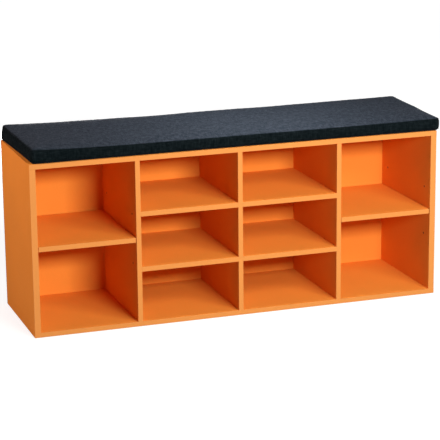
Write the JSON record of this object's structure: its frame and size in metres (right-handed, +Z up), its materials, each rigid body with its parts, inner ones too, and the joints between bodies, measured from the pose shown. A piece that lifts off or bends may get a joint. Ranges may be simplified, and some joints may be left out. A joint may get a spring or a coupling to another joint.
{
  "type": "shoe storage bench",
  "caption": "Low storage bench for shoes with open compartments in columns, adjustable outer shelves, a thin back and a loose seat cushion with a zipped cloth cover.",
  "frame": {"origin": "on the floor, under the middle of the carcass", "axes": "+X to the right along the width, +Y to the back, +Z up"},
  "size_m": [1.051, 0.3122, 0.4553],
  "materials": {
    "board": "particle board with satin orange foil",
    "edge_band": "satin orange edge band",
    "back_board": "thin fibre board, orange foil inside, raw behind",
    "shelf_pin": "zinc plated steel",
    "screw_steel": "zinc plated steel",
    "nail_steel": "bright steel",
    "cam_metal": "die cast zinc alloy",
    "dowel_wood": "raw beech",
    "cushion_cloth": "dark anthracite woven cloth",
    "base_cloth": "black non-woven cloth",
    "foam": "polyurethane foam",
    "zip_tape": "black woven tape",
    "zip_teeth": "black nylon coil",
    "zip_metal": "black lacquered metal"
  },
  "bodies": {
    "carcass": {"back_nails": "nail_steel", "back_panel": "back_board", "bottom_panel": "board", "bottom_panel_edge_band": "edge_band", "bottom_screws": "screw_steel", "centre_divider": "board", "centre_divider_edge_band": "edge_band", "left_divider": "board", "left_divider_edge_band": "edge_band", "left_divider_front_pin": "shelf_pin", "left_divider_rear_pin": "shelf_pin", "left_lower_fixed_shelf": "board", "left_lower_fixed_shelf_edge_band": "edge_band", "left_side_front_pin": "shelf_pin", "left_side_panel": "board", "left_side_panel_edge_band": "edge_band", "left_side_rear_pin": "shelf_pin", "left_upper_fixed_shelf": "board", "left_upper_fixed_shelf_edge_band": "edge_band", "right_divider": "board", "right_divider_edge_band": "edge_band", "right_divider_front_pin": "shelf_pin", "right_divider_rear_pin": "shelf_pin", "right_lower_fixed_shelf": "board", "right_lower_fixed_shelf_edge_band": "edge_band", "right_side_front_pin": "shelf_pin", "right_side_panel": "board", "right_side_panel_edge_band": "edge_band", "right_side_rear_pin": "shelf_pin", "right_upper_fixed_shelf": "board", "right_upper_fixed_shelf_edge_band": "edge_band", "shelf_cam_bolts": "screw_steel", "shelf_cams": "cam_metal", "shelf_double_cam_bolts": "screw_steel", "shelf_dowels": "dowel_wood", "shelf_through_dowels": "dowel_wood", "top_panel": "board", "top_panel_edge_band": "edge_band", "top_screws": "screw_steel"},
    "left_shelf": {"left_adjustable_shelf": "board", "left_adjustable_shelf_edge_band": "edge_band"},
    "right_shelf": {"right_adjustable_shelf": "board", "right_adjustable_shelf_edge_band": "edge_band"},
    "cushion": {"cushion_cover": "cushion_cloth", "cushion_base_cloth": "base_cloth", "cushion_foam": "foam", "zip_tape": "zip_tape", "zip_teeth": "zip_teeth", "zip_left_stop": "zip_metal", "zip_right_stop": "zip_metal"},
    "zip_slider": {"zip_slider": "zip_metal"},
    "zip_pull": {"zip_pull": "zip_metal"}
  },
  "joints": [
    {"name": "cushion_lift", "type": "slide", "parent": "carcass", "child": "cushion", "axis": [0, 0, 1], "range_m": [0, 0.15]},
    {"name": "left_shelf_slide", "type": "slide", "parent": "carcass", "child": "left_shelf", "axis": [0, -1, 0], "range_m": [0, 0.32]},
    {"name": "right_shelf_slide", "type": "slide", "parent": "carcass", "child": "right_shelf", "axis": [0, -1, 0], "range_m": [0, 0.32]},
    {"name": "zip_slide", "type": "slide", "parent": "cushion", "child": "zip_slider", "axis": [-1, 0, 0], "range_m": [0, 0.885]},
    {"name": "zip_pull_swing", "type": "hinge", "parent": "zip_slider", "child": "zip_pull", "pos_m": [0.453, 0.1592, 0.4365], "axis": [0, 0, -1], "range_deg": [0, 170]}
  ]
}
